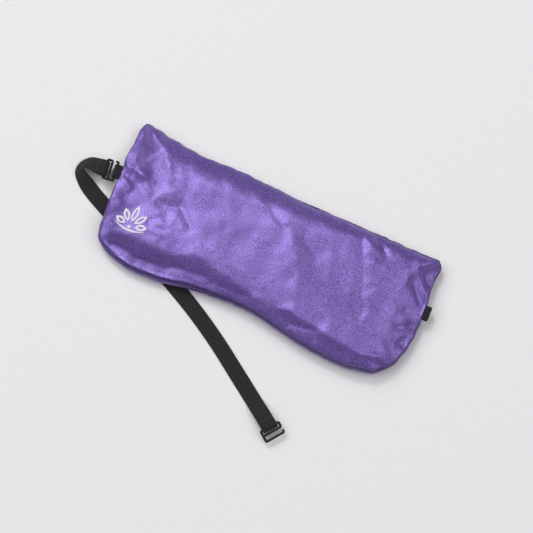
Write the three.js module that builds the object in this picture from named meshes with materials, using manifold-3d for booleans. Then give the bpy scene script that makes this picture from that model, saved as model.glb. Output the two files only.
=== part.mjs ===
// A contoured, flaxseed-filled eye pillow with a removable elastic strap.
//
// Millimetres, +Z up. The pillow lies on its back panel: +X runs along its length, +Y points at the
// straight brow edge, and the nose notch is on the -Y side. The origin is under the middle of the
// pillow, on the surface that it lies on.

import * as THREE from 'three';
import { mergeVertices } from 'three/addons/utils/BufferGeometryUtils.js';
import Module from 'manifold-3d';

const wasm = await Module();
wasm.setup();

// ---- Driving dimensions -------------------------------------------------------------------------

const HALF_LENGTH = 122;
const HALF_WIDTH = 52;
const CROWN_HEIGHT = 21;
const SEAM_HEIGHT = 9.5;
const CROWN_REACH = 42; // how far in from the seam the top goes on rising
const BELLY_REACH = 12; // how far in from the seam the back panel touches the surface
const OUTLINE_STEPS = 48;

const SATIN = 0.7;
const MUSLIN = 0.5;
const GAP = 0.3;
const THREAD = 0.5;
const SEAM_SLIT = THREAD / 2 + GAP;
const POUCH_INSET = 4.3; // the pouch is cut smaller than the cover
const POUCH_DROP = 1.7; // leaves room for the embroidery's backing
const BACKING = 0.4;
const EMBROIDERY_HEIGHT = 0.7;

const LOOP_TAPE = 0.8;
const LOOP_WIDTH = 10.4;
const LOOP_BORE = 1.25;
const LOOP_TAIL = 3.1; // how far the tape's two ends run inside the seam
const LOOP_LEG = 1.05;

const STRAP_WIDTH = 11.5;
const STRAP_THICKNESS = 1.2;
const STRAP_CLEAR = 0.15;
const FOLD_RADIUS = 1.9; // from a hook's bar to the middle of the strap round it

const HOOK_WIDTH = 16;
const HOOK_BAR = 1.8;
const HOOK_STRAP_SLOT = 1.9;
const HOOK_OPEN_SLOT = 2.6;
const HOOK_TIP_GAP = 1.4;
const HOOK_EYE_TO_BAR = 2 * HOOK_BAR + HOOK_STRAP_SLOT + HOOK_OPEN_SLOT;

// The seam line, from the corner at the left of the brow edge and on round to the right.
const OUTLINE = [
  [-117, 52], [-96, 48.6], [-72, 47.8], [-35, 49.2], [10, 48.1], [62, 49.5], [95, 50.3], [114, 50.8],
  [116, 42], [119.5, 24], [121, 6], [121, -12], [116.5, -31], [106, -43], [90, -47], [66, -48],
  [36, -45.4], [4, -41.6], [-30, -44.6], [-60, -50], [-82, -52], [-100, -48.4], [-112, -40],
  [-117, -24], [-119.5, -6], [-120.4, 9], [-122, 22], [-122, 38], [-120.6, 48],
];

// Each loop's place on the seam, the way it points, and how far out its eye lies.
const LEFT_LOOP = { x: -120.4, y: 9.4, bearing: 190, reach: 2.7 };
const RIGHT_LOOP = { x: 120.3, y: 12.9, bearing: 3, reach: 2.95 };

// A hook's eye bar is held in the strap's end, and it points along its bearing.
const FREE_HOOK = { x: 58.2, y: -107.7, z: 5, bearing: -34 };

// The strap's centre line from the left hook to the free one: x, y, z, the bearing of the line
// across it, and that line's slope. It leaves the left hook, turns half on edge, lies down on the
// surface and runs under the pillow. Each tail is the end that is folded back under a hook's bar.
const LEFT_TAIL = [[-139.0, 6.7, 8.1, 109, -17], [-134.9, 7.2, 7.9, 102.5, -5]];
const STRAP_ROUTE = [
  [-133.6, 7.5, 11.0, 101, -1], [-137.0, 7.1, 10.2, 104, -9], [-140.6, 7.0, 9.3, 112, -21],
  [-144.4, 6.6, 7.8, 124, -36], [-147.3, 4.6, 6.6, 147, -49], [-148.5, 1.9, 5.6, 176, -52],
  [-147.9, -0.9, 5.0, 202, -46], [-145.9, -3.2, 4.4, 215, -40], [-143.0, -5.2, 3.4, 225, -30],
  [-139.1, -7.4, 2.1, 235, -14], [-134.5, -9.8, 1.1, 243, -3], [-129.0, -12.4, 0.75, 246, 0],
  [-118.0, -17.1, 0.75, 247.3, 0], [-95.0, -26.8, 0.75, 247.3, 0], [-72.0, -36.4, 0.75, 247.3, 0],
  [-47.8, -46.5, 0.75, 246.5, 0], [-27.3, -56.0, 0.75, 244, 0], [-8.3, -66.1, 0.75, 241, 0],
  [3.9, -73.2, 0.75, 239, 0], [15.1, -80.2, 0.75, 237.5, 0], [31.9, -90.7, 0.75, 236.5, 0],
  [37.6, -94.3, 0.75, 236, 0],
];
const FREE_END_ROUTE = [
  [37.9, -94.5, 0.75, 236, 0], [41.0, -96.5, 1.6, 236, 0], [44.4, -98.7, 3.5, 236, 0],
  [48.2, -101.2, 5.3, 236, 0], [51.5, -103.3, 5.9, 236, 0], [54.6, -105.3, 6.5, 236, 0],
];
const FREE_TAIL = [[54.5, -105.2, 3.6, 236, 0], [51.4, -103.2, 4.1, 236, 0], [48.3, -101.2, 3.8, 236, 0]];

// The embroidered lotus: where it is, and the bearing and reach of each petal.
const MOTIF = { x: -93.5, y: -25.5 };
const PETAL_ROOT = 3.9;
const PETAL_WIDTH = 4.9;
const PETAL_STROKE = 1.4;
const PETALS = [
  { name: 'petal_far_left', bearing: 163, reach: 13.4 },
  { name: 'petal_left', bearing: 126.5, reach: 15 },
  { name: 'petal_middle', bearing: 90, reach: 17 },
  { name: 'petal_right', bearing: 53.5, reach: 15 },
  { name: 'petal_far_right', bearing: 17, reach: 13.4 },
];

// ---- Materials ----------------------------------------------------------------------------------

const material = (color, roughness, metalness = 0) =>
  new THREE.MeshStandardMaterial({ color, roughness, metalness });

const satin = material('#7d69b0', 0.38);
const muslin = material('#e6dfd0', 0.9);
const flaxseed = material('#8a5a34', 0.6);
const whiteThread = material('#ece9f2', 0.45);
const purpleThread = material('#6a549c', 0.5);
const stabiliser = material('#f1f0ec', 0.95);
const elastic = material('#242426', 0.8);
const blackThread = material('#1d1d1f', 0.7);
const hookCoating = material('#151517', 0.35, 0.3);

// ---- Solids -------------------------------------------------------------------------------------

const radians = THREE.MathUtils.degToRad;

function vector(bearing, length = 1) {
  return new THREE.Vector3(length * Math.cos(radians(bearing)), length * Math.sin(radians(bearing)), 0);
}

function toSolid(geometry) {
  const bare = geometry.clone();
  bare.deleteAttribute('normal');
  bare.deleteAttribute('uv');
  const merged = mergeVertices(bare, 1e-4);
  return new wasm.Manifold(new wasm.Mesh({
    numProp: 3,
    vertProperties: new Float32Array(merged.attributes.position.array),
    triVerts: new Uint32Array(merged.index.array),
  }));
}

function toGeometry(solid) {
  const mesh = solid.getMesh();
  const geometry = new THREE.BufferGeometry();
  geometry.setAttribute('position', new THREE.BufferAttribute(mesh.vertProperties, 3));
  geometry.setIndex(new THREE.BufferAttribute(mesh.triVerts, 1));
  geometry.computeVertexNormals();
  return geometry;
}

// A skin over equal rings of points. Open lofts are capped; a closed one runs back to its start.
function loft(rings, closed = false) {
  const size = rings[0].length;
  const points = rings.flat();
  const faces = [];
  const spans = closed ? rings.length : rings.length - 1;
  for (let i = 0; i < spans; i++) {
    const here = i * size;
    const next = ((i + 1) % rings.length) * size;
    for (let j = 0; j < size; j++) {
      const k = (j + 1) % size;
      faces.push(here + j, here + k, next + k, here + j, next + k, next + j);
    }
  }
  if (!closed) {
    addCap(points, faces, 0, size, true);
    addCap(points, faces, (rings.length - 1) * size, size, false);
  }
  const geometry = new THREE.BufferGeometry();
  geometry.setAttribute('position', new THREE.Float32BufferAttribute(points.flatMap((p) => p.toArray()), 3));
  geometry.setIndex(faces);
  return geometry;
}

function addCap(points, faces, first, size, reversed) {
  const middle = new THREE.Vector3();
  for (let j = 0; j < size; j++) middle.addScaledVector(points[first + j], 1 / size);
  const hub = points.push(middle) - 1;
  for (let j = 0; j < size; j++) {
    const a = first + j;
    const b = first + ((j + 1) % size);
    faces.push(hub, reversed ? b : a, reversed ? a : b);
  }
}

// A box given by its limits along a bearing, across it and upwards, about a point.
function boxAt({ x, y, z = 0, bearing }, along, across, up) {
  const box = new THREE.BoxGeometry(along[1] - along[0], across[1] - across[0], up[1] - up[0]);
  box.translate((along[0] + along[1]) / 2, (across[0] + across[1]) / 2, (up[0] + up[1]) / 2);
  box.rotateZ(radians(bearing));
  box.translate(x, y, z);
  return toSolid(box);
}

function prism(shape, depth, options = {}) {
  return new THREE.ExtrudeGeometry(shape, { depth, bevelEnabled: false, curveSegments: 4, ...options });
}

// ---- The pillow's layers ------------------------------------------------------------------------

const seamCurve = new THREE.CatmullRomCurve3(
  OUTLINE.map(([x, y]) => new THREE.Vector3(x, y, 0)), true, 'centripetal');
const seamPoints = seamCurve.getSpacedPoints(OUTLINE_STEPS).slice(0, OUTLINE_STEPS).reverse();

function seamRing(inset, z) {
  const shrinkX = 1 - inset / HALF_LENGTH;
  const shrinkY = 1 - inset / HALF_WIDTH;
  return seamPoints.map((p) => new THREE.Vector3(p.x * shrinkX, p.y * shrinkY, z));
}

// The filled shape of one layer, drawn in from the pillow's skin by inset in plan and by drop above.
function layer(inset, drop = inset, lift = inset) {
  const top = CROWN_HEIGHT - drop;
  const belly = [1, 0.55, 0.22, 0.05].map((q) => {
    const fall = Math.sqrt(1 - (1 - q) ** 2);
    return seamRing(inset + q * BELLY_REACH, SEAM_HEIGHT - (SEAM_HEIGHT - lift) * fall);
  });
  const crown = [0, 0.05, 0.16, 0.36, 0.64, 1].map((q) => {
    const rise = Math.sqrt(1 - (1 - q) ** 2);
    return seamRing(inset + q * CROWN_REACH, SEAM_HEIGHT + (top - SEAM_HEIGHT) * rise);
  });
  return toSolid(loft([...belly, ...crown]));
}

const everywhere = { x: 0, y: 0, bearing: 0 };
const aboveSeam = boxAt(everywhere, [-200, 200], [-200, 200], [SEAM_HEIGHT + SEAM_SLIT, 60]);
const belowSeam = boxAt(everywhere, [-200, 200], [-200, 200], [-5, SEAM_HEIGHT - SEAM_SLIT]);

function seamThread(inset, margin = 0) {
  const reach = THREAD / 2 + margin;
  const inner = seamRing(inset + reach, 0);
  const outer = seamRing(inset - reach, 0);
  return toSolid(loft(outer.map((p, i) => [
    new THREE.Vector3(inner[i].x, inner[i].y, SEAM_HEIGHT - reach),
    new THREE.Vector3(inner[i].x, inner[i].y, SEAM_HEIGHT + reach),
    new THREE.Vector3(p.x, p.y, SEAM_HEIGHT + reach),
    new THREE.Vector3(p.x, p.y, SEAM_HEIGHT - reach),
  ]), true));
}

// The fabric rides up over the strap, so a straight channel runs across the back of the pillow.
const strapChannel = { x: -83.5, y: -31.6, bearing: -22.7 };
const channelTop = STRAP_CLEAR + STRAP_THICKNESS + GAP;
const channelHalf = STRAP_WIDTH / 2 + 0.5;

function channel(growth) {
  const half = channelHalf + growth;
  return boxAt(strapChannel, [-60, 60], [-half, half], [-2, channelTop + growth]);
}

function seamNotch({ x, y, bearing }) {
  const half = LOOP_WIDTH / 2 + GAP;
  const rise = LOOP_LEG + GAP;
  return boxAt({ x, y, z: SEAM_HEIGHT, bearing }, [-2, 3], [-half, half], [-rise, rise]);
}

function coverPanels() {
  const skin = layer(0);
  const shell = skin.subtract(layer(SATIN));
  const notches = [seamNotch(LEFT_LOOP), seamNotch(RIGHT_LOOP)];
  const ridge = skin.intersect(channel(SATIN)).intersect(belowSeam);
  const front = notches.reduce((solid, notch) => solid.subtract(notch), shell.intersect(aboveSeam));
  const back = notches.reduce((solid, notch) => solid.subtract(notch), shell.intersect(belowSeam));
  return { front, back: back.add(ridge).subtract(channel(0)) };
}

function pouchPanels() {
  const lift = SATIN + GAP;
  const skin = layer(POUCH_INSET, POUCH_DROP, lift);
  const shell = skin.subtract(layer(POUCH_INSET + MUSLIN, POUCH_DROP + MUSLIN, lift + MUSLIN));
  const ridge = skin.intersect(channel(SATIN + GAP + MUSLIN)).intersect(belowSeam);
  return {
    front: shell.intersect(aboveSeam),
    back: shell.intersect(belowSeam).add(ridge).subtract(channel(SATIN + GAP)),
  };
}

function seedFill() {
  const inset = POUCH_INSET + MUSLIN + GAP;
  const drop = POUCH_DROP + MUSLIN + GAP;
  const lift = SATIN + MUSLIN + 2 * GAP;
  return layer(inset, drop, lift).subtract(channel(SATIN + MUSLIN + 2 * GAP));
}

// ---- Embroidery ---------------------------------------------------------------------------------

// A pointed oval between two points on the X axis.
function oval(start, end, width) {
  const shape = new THREE.Shape();
  shape.moveTo(start, 0);
  shape.quadraticCurveTo((start + end) / 2, width, end, 0);
  shape.quadraticCurveTo((start + end) / 2, -width, start, 0);
  return toSolid(prism(shape, 30));
}

// A petal is the outline of an oval, one stroke of stitches wide.
function petalSolid({ bearing, reach }) {
  const inside = oval(PETAL_ROOT + 2.2, reach - 2.6, PETAL_WIDTH - 2 * PETAL_STROKE);
  return oval(PETAL_ROOT, reach, PETAL_WIDTH).subtract(inside).rotate([0, 0, bearing]);
}

// The curve of water under the flower, thickest in the middle.
function rippleSolid() {
  const shape = new THREE.Shape();
  shape.moveTo(-12, 0.6);
  shape.quadraticCurveTo(0, -7.4, 12, 0.6);
  shape.quadraticCurveTo(0, -3.8, -12, 0.6);
  return toSolid(prism(shape, 30));
}

function seedSolid() {
  return toSolid(new THREE.CylinderGeometry(1.3, 1.3, 30, 12).rotateX(Math.PI / 2).translate(0, 0, 15));
}

// The part of an upright solid that lies just over the front panel.
function embroider(solid) {
  const surface = layer(-GAP - EMBROIDERY_HEIGHT).subtract(layer(-GAP));
  return solid.translate([MOTIF.x, MOTIF.y, SEAM_HEIGHT + 1]).intersect(surface);
}

function embroideryBacking() {
  const patch = boxAt({ ...MOTIF, bearing: 0 }, [-16, 16], [-7, 20], [SEAM_HEIGHT + 1, 40]);
  return layer(SATIN + GAP).subtract(layer(SATIN + GAP + BACKING)).intersect(patch);
}

// ---- Loops of tape in the side seams ------------------------------------------------------------

// The tape runs out of the seam, round the eye and back into the seam.
function tapeLoop({ x, y, bearing, reach }) {
  const outer = LOOP_BORE + LOOP_TAPE;
  const slit = LOOP_LEG - LOOP_TAPE;
  const section = new THREE.Shape();
  section.moveTo(-LOOP_TAIL, LOOP_LEG);
  section.lineTo(0, LOOP_LEG);
  section.absarc(reach, 0, outer, Math.PI / 2, -Math.PI / 2, true);
  section.lineTo(0, -LOOP_LEG);
  section.lineTo(-LOOP_TAIL, -LOOP_LEG);
  section.lineTo(-LOOP_TAIL, -slit);
  section.lineTo(0, -slit);
  section.absarc(reach, 0, LOOP_BORE, -Math.PI / 2, Math.PI / 2, false);
  section.lineTo(0, slit);
  section.lineTo(-LOOP_TAIL, slit);
  const tape = prism(section, LOOP_WIDTH, { curveSegments: 10 });
  tape.translate(0, 0, -LOOP_WIDTH / 2).rotateX(Math.PI / 2).rotateZ(radians(bearing));
  tape.translate(x, y, SEAM_HEIGHT);
  return toSolid(tape).subtract(seamThread(SATIN / 2, GAP));
}

// ---- Hooks --------------------------------------------------------------------------------------

// Seen flat: the eye for the strap, then an open bar that is joined at one side and turned up at
// the tip. The origin is the middle of the eye's first bar.
function hookShape() {
  const half = HOOK_WIDTH / 2;
  const bar = HOOK_BAR;
  const eyeEnd = 1.5 * bar + HOOK_STRAP_SLOT;
  const openBar = eyeEnd + HOOK_OPEN_SLOT;
  const end = openBar + bar;
  const tip = eyeEnd + HOOK_TIP_GAP;
  const shape = new THREE.Shape();
  shape.absarc(-half + bar, -bar / 2 + bar, bar, Math.PI, 1.5 * Math.PI, false);
  shape.absarc(half - bar, -bar / 2 + bar, bar, 1.5 * Math.PI, 2 * Math.PI, false);
  shape.absarc(half - bar, eyeEnd - bar, bar, 0, 0.5 * Math.PI, false);
  shape.absarc(-half + 2 * bar, eyeEnd + HOOK_OPEN_SLOT / 2, HOOK_OPEN_SLOT / 2,
    1.5 * Math.PI, 0.5 * Math.PI, true);
  shape.lineTo(half - bar, openBar);
  shape.lineTo(half - bar, tip + bar / 2);
  shape.absarc(half - bar / 2, tip + bar / 2, bar / 2, Math.PI, 0, false);
  shape.absarc(half - bar, end - bar, bar, 0, 0.5 * Math.PI, false);
  shape.absarc(-half + bar, end - bar, bar, 0.5 * Math.PI, Math.PI, false);
  return shape;
}

function hookEye() {
  const eye = new THREE.BoxGeometry(HOOK_WIDTH - 2 * HOOK_BAR, HOOK_STRAP_SLOT, 2 * HOOK_BAR);
  return toSolid(eye.translate(0, (HOOK_BAR + HOOK_STRAP_SLOT) / 2, 0));
}

function hookSolid({ x, y, z, bearing }) {
  const bevel = 0.35;
  const body = prism(hookShape(), HOOK_BAR - 2 * bevel, {
    curveSegments: 4, bevelEnabled: true, bevelThickness: bevel, bevelSize: bevel,
    bevelOffset: -bevel, bevelSegments: 1,
  });
  body.translate(0, 0, -HOOK_BAR / 2 + bevel);
  const place = new THREE.Matrix4()
    .makeBasis(vector(bearing + 90), vector(bearing), new THREE.Vector3(0, 0, -1))
    .setPosition(x, y, z);
  return toSolid(body).subtract(hookEye()).transform(place.elements);
}

const leftEye = vector(LEFT_LOOP.bearing, LEFT_LOOP.reach);
const LEFT_HOOK = {
  x: LEFT_LOOP.x + leftEye.x + vector(LEFT_LOOP.bearing, HOOK_EYE_TO_BAR).x,
  y: LEFT_LOOP.y + leftEye.y + vector(LEFT_LOOP.bearing, HOOK_EYE_TO_BAR).y,
  z: SEAM_HEIGHT,
  bearing: LEFT_LOOP.bearing - 180,
};

// ---- The strap ----------------------------------------------------------------------------------

function station([x, y, z, bearing, slope]) {
  const across = vector(bearing, Math.cos(radians(slope)));
  across.z = Math.sin(radians(slope));
  return { middle: new THREE.Vector3(x, y, z), across };
}

// Half a turn round the end of a hook's bar, from the upper layer down to the tail.
function foldStations(hook) {
  const back = vector(hook.bearing + 180);
  return [90, 60, 30, 0, -30, -60, -90].map((angle) => ({
    middle: new THREE.Vector3(hook.x, hook.y, hook.z + FOLD_RADIUS * Math.sin(radians(angle)))
      .addScaledVector(back, -FOLD_RADIUS * Math.cos(radians(angle))),
    across: vector(hook.bearing - 90),
  }));
}

function ribbon(stations, steps) {
  const curve = (points) => new THREE.CatmullRomCurve3(points, false, 'centripetal');
  const middles = curve(stations.map((s) => s.middle));
  const edges = curve(stations.map((s) => s.middle.clone().addScaledVector(s.across, STRAP_WIDTH / 2)));
  const rings = [];
  for (let i = 0; i <= steps; i++) {
    const t = i / steps;
    const middle = middles.getPoint(t);
    const ahead = middles.getTangent(t);
    const across = edges.getPoint(t).sub(middle).normalize();
    const out = across.clone().cross(ahead).normalize().multiplyScalar(STRAP_THICKNESS / 2);
    const side = across.multiplyScalar(STRAP_WIDTH / 2);
    rings.push([[1, -1], [-1, -1], [-1, 1], [1, 1]].map(([s, o]) =>
      middle.clone().addScaledVector(side, s).addScaledVector(out, o)));
  }
  return toSolid(loft(rings));
}

// A short bar of zigzag stitches on top of the strap's two layers, its own length back from a hook.
function endStitching(hook, z) {
  const half = STRAP_WIDTH / 2 - 1;
  const place = { x: hook.x, y: hook.y, z, bearing: hook.bearing + 180 };
  return boxAt(place, [5.2, 6.4], [-half, half], [0, 0.35]);
}

// ---- Assembly -----------------------------------------------------------------------------------

const pillow = new THREE.Group();

function addPiece(name, solid, finish) {
  const mesh = new THREE.Mesh(toGeometry(solid), finish);
  mesh.name = name;
  pillow.add(mesh);
}

const cover = coverPanels();
addPiece('front_panel', cover.front, satin);
addPiece('back_panel', cover.back, satin);
addPiece('cover_seam_thread', seamThread(SATIN / 2), purpleThread);

const pouch = pouchPanels();
addPiece('pouch_front', pouch.front, muslin);
addPiece('pouch_back', pouch.back, muslin);
addPiece('pouch_seam_thread', seamThread(POUCH_INSET + MUSLIN / 2), whiteThread);
addPiece('flaxseed_fill', seedFill(), flaxseed);

for (const petal of PETALS) addPiece(petal.name, embroider(petalSolid(petal)), whiteThread);
addPiece('lotus_ripple', embroider(rippleSolid()), whiteThread);
addPiece('lotus_seed', embroider(seedSolid()), whiteThread);
addPiece('embroidery_backing', embroideryBacking(), stabiliser);

addPiece('left_loop', tapeLoop(LEFT_LOOP), elastic);
addPiece('right_loop', tapeLoop(RIGHT_LOOP), elastic);

addPiece('left_hook', hookSolid(LEFT_HOOK), hookCoating);
addPiece('free_hook', hookSolid(FREE_HOOK), hookCoating);

// The left end's outer edge is on the other side, because the strap turns round in between.
const leftFold = foldStations(LEFT_HOOK).reverse();
for (const { across } of leftFold) across.negate();
const strapStations = [...LEFT_TAIL.map(station), ...leftFold, ...STRAP_ROUTE.map(station)];
const freeEndStations = [...FREE_END_ROUTE.map(station), ...foldStations(FREE_HOOK), ...FREE_TAIL.map(station)];
addPiece('strap', ribbon(strapStations, 78), elastic);
addPiece('strap_free_end', ribbon(freeEndStations, 30), elastic);
addPiece('left_end_stitching', endStitching(LEFT_HOOK, 12.1), blackThread);
addPiece('free_end_stitching', endStitching(FREE_HOOK, 7.4), blackThread);

export default pillow;
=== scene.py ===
"""A contoured eye pillow of glossy purple satin, with an embroidered lotus and a hooked elastic strap.

Metres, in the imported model's frame: +X runs along the pillow, +Y points at its straight brow edge,
+Z is up, and the pillow lies on Z = 0.
"""

import math

import bpy
import numpy as np
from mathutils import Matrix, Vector, noise
from mathutils.bvhtree import BVHTree


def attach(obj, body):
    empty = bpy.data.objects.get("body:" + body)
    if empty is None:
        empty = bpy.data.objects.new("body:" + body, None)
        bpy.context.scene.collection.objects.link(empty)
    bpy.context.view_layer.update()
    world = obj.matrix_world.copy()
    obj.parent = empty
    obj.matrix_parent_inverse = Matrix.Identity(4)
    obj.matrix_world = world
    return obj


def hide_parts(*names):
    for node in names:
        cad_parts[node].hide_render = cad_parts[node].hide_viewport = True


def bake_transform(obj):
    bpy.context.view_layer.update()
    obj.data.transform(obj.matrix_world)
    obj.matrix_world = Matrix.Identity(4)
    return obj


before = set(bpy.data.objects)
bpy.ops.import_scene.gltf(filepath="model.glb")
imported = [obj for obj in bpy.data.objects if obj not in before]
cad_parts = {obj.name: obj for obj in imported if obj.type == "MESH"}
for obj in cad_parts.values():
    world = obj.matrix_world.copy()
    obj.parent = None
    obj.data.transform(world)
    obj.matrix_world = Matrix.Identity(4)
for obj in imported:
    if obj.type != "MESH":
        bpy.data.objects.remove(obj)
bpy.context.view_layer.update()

# ---- Driving dimensions ----

# The camera looks down at the pillow, turned a little to one side.
CAMERA_AZIMUTH = 26.2
CAMERA_ELEVATION = 77.0
CAMERA_DISTANCE = 1.066
CAMERA_AIM = (0.00499, -0.00434, 0.0)
CAMERA_LENS = 100.0

# The pillow's widest line: x, y, the seam's height there, how far the seam lies inside that line, and
# how far in from the seam the front panel reaches its full height.
OUTLINE = [
    (-0.1196, 0.0521, 0.0060, 0.0003, 0.022), (-0.0960, 0.0490, 0.0080, 0.0005, 0.018),
    (-0.0720, 0.0474, 0.0090, 0.0006, 0.021), (-0.0350, 0.0490, 0.0095, 0.0006, 0.020),
    (0.0100, 0.0481, 0.0095, 0.0006, 0.014), (0.0620, 0.0494, 0.0095, 0.0006, 0.011),
    (0.0950, 0.0500, 0.0090, 0.0005, 0.013), (0.1155, 0.0506, 0.0085, 0.0003, 0.016),
    (0.1170, 0.0491, 0.0085, 0.0003, 0.028), (0.1175, 0.0380, 0.0090, 0.0004, 0.033),
    (0.1198, 0.0240, 0.0095, 0.0005, 0.030), (0.1214, 0.0060, 0.0095, 0.0006, 0.034),
    (0.1216, -0.0120, 0.0100, 0.0008, 0.032), (0.1168, -0.0305, 0.0110, 0.0012, 0.026),
    (0.1065, -0.0420, 0.0115, 0.0013, 0.019), (0.0900, -0.0464, 0.0120, 0.0013, 0.017),
    (0.0660, -0.0475, 0.0120, 0.0013, 0.016), (0.0360, -0.0445, 0.0120, 0.0013, 0.017),
    (0.0040, -0.0410, 0.0120, 0.0015, 0.020), (-0.0300, -0.0442, 0.0120, 0.0020, 0.024),
    (-0.0600, -0.0498, 0.0120, 0.0025, 0.030), (-0.0820, -0.0516, 0.0120, 0.0024, 0.032),
    (-0.0990, -0.0480, 0.0115, 0.0022, 0.030), (-0.1120, -0.0402, 0.0110, 0.0018, 0.026),
    (-0.1162, -0.0240, 0.0100, 0.0010, 0.028), (-0.1185, -0.0060, 0.0095, 0.0007, 0.034),
    (-0.1196, 0.0090, 0.0095, 0.0006, 0.036), (-0.1214, 0.0220, 0.0090, 0.0005, 0.034),
    (-0.1217, 0.0370, 0.0080, 0.0004, 0.034), (-0.1215, 0.0503, 0.0062, 0.0003, 0.030),
]
# Where the four sides of the outline meet, counted in outline points.
CORNERS = (0.0, 7.5, 13.5, 23.0)

# The front panel's full height, and how far in from the seam the back panel's belly reaches the floor.
CROWN = 0.0205
BELLY_REACH = 0.012
SATIN = 0.00045
# How much the seam wavers, and the soft unevenness of the filling: each layer's height, size and seed.
SEAM_WAVER = 0.0005
SWELLS = ((0.0005, 0.040, 3.1), (0.0003, 0.013, 8.7), (0.00012, 0.006, 2.2))
# The gathers along the seam: height, size, seed, how far in they run, and where they are full.
FRONT_GATHERS = ((0.0007, 0.009, 1.5, 0.007, 0.002), (0.0004, 0.0035, 7.7, 0.003, 0.001))
BACK_GATHERS = (0.0004, 0.008, 5.2, 0.006, 0.002)
# How far the strap lifts the front panel and the back panel that lie over it.
STRAP_LIFTS = (0.0005, 0.00165)
# How far each loop's doubled tape lifts the front panel, and how far round its root.
TAPE_LIFT = 0.0015
TAPE_LIFT_REACH = 0.0065
# How dark the painted shade in the seam's groove gets, and how wide it is on the front and back panels.
GROOVE_PAINTED_SHADE = 0.8
GROOVE_PAINTED_SHADE_WIDTHS = (0.0018, 0.0008)
# How far the pouch and the seeds stay under the front panel, and over the back panel.
POUCH_GAPS = (0.0013, 0.0009)
FILL_GAPS = (0.0021, 0.0017)
# The cloth simulation, the furthest that it may move a point, and how much of its move is kept.
CLOTH_FRAMES = 20
CLOTH_BENDING = 0.05
CLOTH_SHRINK = -0.003
CLOTH_PRESSURE = 3.0
CLOTH_LIMIT = 0.003
CLOTH_SHARE = 0.4
PANEL_COLUMNS = 151
PANEL_ROWS = 71

LOOP_WIDTH = 0.0104
LOOP_TAPE = 0.0008
LOOP_BORE = 0.00125
LOOP_TAIL = 0.0013
# Where each loop leaves the seam, which way, and how far out the middle of its eye is.
LOOPS = {
    "left_loop": {"x": -0.1204, "y": 0.0094, "z": 0.0095, "bearing": 190, "reach": 0.0027},
    "right_loop": {"x": 0.1203, "y": 0.0129, "z": 0.0095, "bearing": 3, "reach": 0.00295},
}

HOOK_WIDTH = 0.016
HOOK_BAR = 0.0018
HOOK_STRAP_SLOT = 0.0019
HOOK_OPEN_SLOT = 0.0026
HOOK_TIP_GAP = 0.0014
# The middle of the bar that each hook hangs on the strap by, and the way its open arm points.
LEFT_HOOK = {"x": -0.131036, "y": 0.007524, "z": 0.0095, "bearing": 10}
FREE_HOOK = {"x": 0.0582, "y": -0.1077, "z": 0.005, "bearing": -34}

STRAP_WIDTH = 0.0115
STRAP_THICKNESS = 0.0012
FOLD_RADIUS = 0.0019

# The strap's centre line, from the tail under the left hook to the tail under the free hook: x, y, z,
# the bearing of the line across the strap, and that line's slope where it isn't level.
LEFT_TAIL = [(-0.1390, 0.0067, 0.0081, 109, -17), (-0.1349, 0.0072, 0.0079, 102.5, -5)]
STRAP_ROUTE = [
    (-0.1336, 0.0075, 0.0110, 101, -1), (-0.1370, 0.0071, 0.0102, 104, -9),
    (-0.1406, 0.0070, 0.0093, 112, -21), (-0.1444, 0.0066, 0.0078, 124, -36),
    (-0.1473, 0.0046, 0.0066, 147, -49), (-0.1485, 0.0019, 0.0056, 176, -52),
    (-0.1479, -0.0009, 0.0050, 202, -46), (-0.1459, -0.0032, 0.0044, 215, -40),
    (-0.1430, -0.0052, 0.0034, 225, -30), (-0.1391, -0.0074, 0.0021, 235, -14),
    (-0.1345, -0.0098, 0.0011, 243, -3), (-0.1290, -0.0124, 0.00075, 246),
    (-0.1180, -0.0171, 0.00075, 247.3), (-0.0950, -0.0268, 0.00075, 247.3),
    (-0.0720, -0.0364, 0.00075, 247.3), (-0.0478, -0.0465, 0.00075, 246.5),
    (-0.0273, -0.0560, 0.00075, 244), (-0.0083, -0.0661, 0.00075, 241),
    (0.0039, -0.0732, 0.00075, 239), (0.0151, -0.0802, 0.00075, 237.5),
    (0.0319, -0.0907, 0.00075, 236.5), (0.0376, -0.0943, 0.00075, 236),
]
FREE_END_ROUTE = [
    (0.0410, -0.0965, 0.0016, 236), (0.0444, -0.0987, 0.0035, 236),
    (0.0482, -0.1012, 0.0053, 236), (0.0515, -0.1033, 0.0059, 236),
    (0.0546, -0.1053, 0.0065, 236),
]
FREE_TAIL = [
    (0.0545, -0.1052, 0.0036, 236), (0.0514, -0.1032, 0.0041, 236),
    (0.0483, -0.1012, 0.0038, 236),
]
# The straight stretch of the route that the pillow lies on.
UNDER_PILLOW = ((-0.129, -0.0124), (-0.0478, -0.0465))

# The lotus: its root's place, then each petal's bearing and how far its tip reaches from there.
MOTIF = (-0.0935, -0.0255)
PETAL_ROOT = 0.0039
PETAL_WIDTH = 0.0049
PETAL_STROKE = 0.0016
STITCH_ARCH = 0.00042
STITCH_RADIUS = 0.00021
TACK_TURNS = 15
PETALS = {
    "petal_far_left": (163, 0.0134),
    "petal_left": (126.5, 0.015),
    "petal_middle": (90, 0.017),
    "petal_right": (53.5, 0.015),
    "petal_far_right": (17, 0.0134),
}

# ---- Curves and meshes ----


def heading(bearing):
    angle = math.radians(bearing)
    return np.array([math.cos(angle), math.sin(angle), 0.0])


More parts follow.
